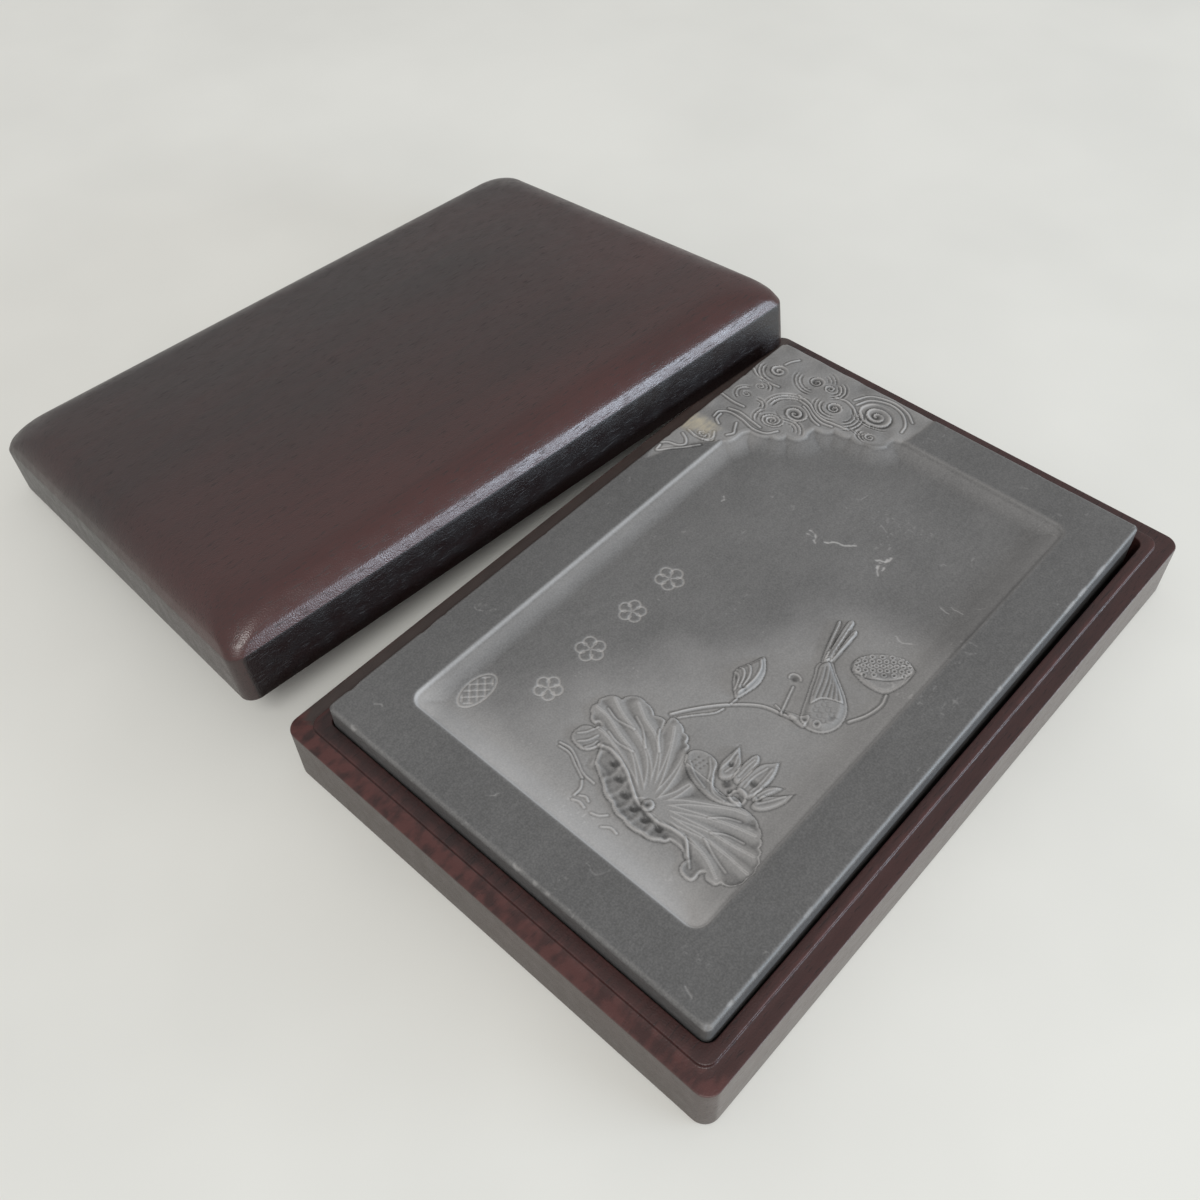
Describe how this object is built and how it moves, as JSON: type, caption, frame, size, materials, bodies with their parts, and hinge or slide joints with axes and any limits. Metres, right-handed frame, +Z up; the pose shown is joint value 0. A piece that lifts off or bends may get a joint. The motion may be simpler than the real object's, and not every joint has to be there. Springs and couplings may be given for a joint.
{
  "type": "inkstone box",
  "caption": "Rectangular carved ink stone lying in a shallow wooden tray, with its soft-topped wooden lid propped open beside it.",
  "frame": {"origin": "centre of the tray's flat underside", "axes": "+X across the box towards the right of the carved picture, +Y along the box towards the top of the picture, +Z up"},
  "size_m": [0.3159, 0.234, 0.0446],
  "materials": {
    "tray_wood": "dark red-brown rosewood, thin satin oil finish, bare end-grain streaks on the ledge",
    "lid_wood": "dark red-brown rosewood, polished satin finish with fine open pores",
    "ink_stone": "fine grey slate, matt, ground smooth, paler where it is carved and worn"
  },
  "bodies": {
    "tray": {"tray": "tray_wood"},
    "stone": {"stone": "ink_stone"},
    "lid": {"lid": "lid_wood"}
  },
  "joints": [
    {"name": "stone_lift", "type": "slide", "parent": "tray", "child": "stone", "axis": [0, 0, 1], "range_m": [0, 0.04]},
    {"name": "lid_lift", "type": "slide", "parent": "tray", "child": "lid", "axis": [0, 0, 1], "range_m": [0, 0.06]}
  ]
}
